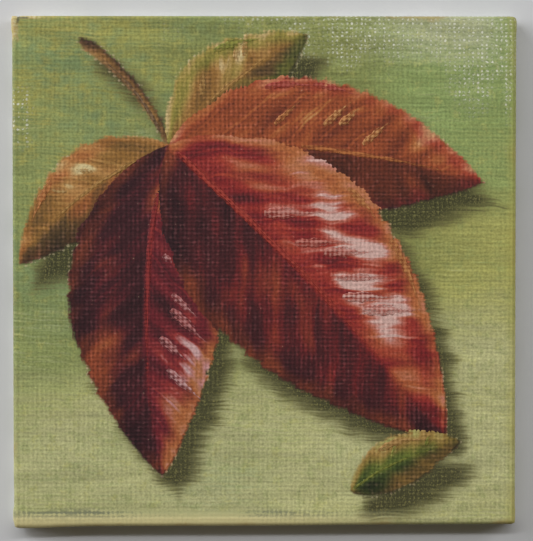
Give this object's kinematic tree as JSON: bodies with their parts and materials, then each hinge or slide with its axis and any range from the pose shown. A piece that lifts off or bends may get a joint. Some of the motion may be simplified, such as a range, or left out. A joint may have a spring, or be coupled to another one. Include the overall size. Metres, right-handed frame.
{
  "type": "painted canvas panel",
  "caption": "Small square artist's canvas panel: primed cotton wrapped round a stiff board, margins turned onto a paper-covered back, with an oil-painted face to prop or frame.",
  "frame": {"origin": "middle of the panel's back, on the surface that it lies on", "axes": "+Z out of the painted face, +Y to the picture's top, +X to its right"},
  "size_m": [0.1006, 0.101, 0.0036],
  "materials": {
    "greyboard": "matte",
    "painted_canvas": "satin",
    "backing_paper": "matte"
  },
  "bodies": {
    "root": {"board": "greyboard", "canvas": "painted_canvas", "backing_paper": "backing_paper"}
  },
  "joints": []
}
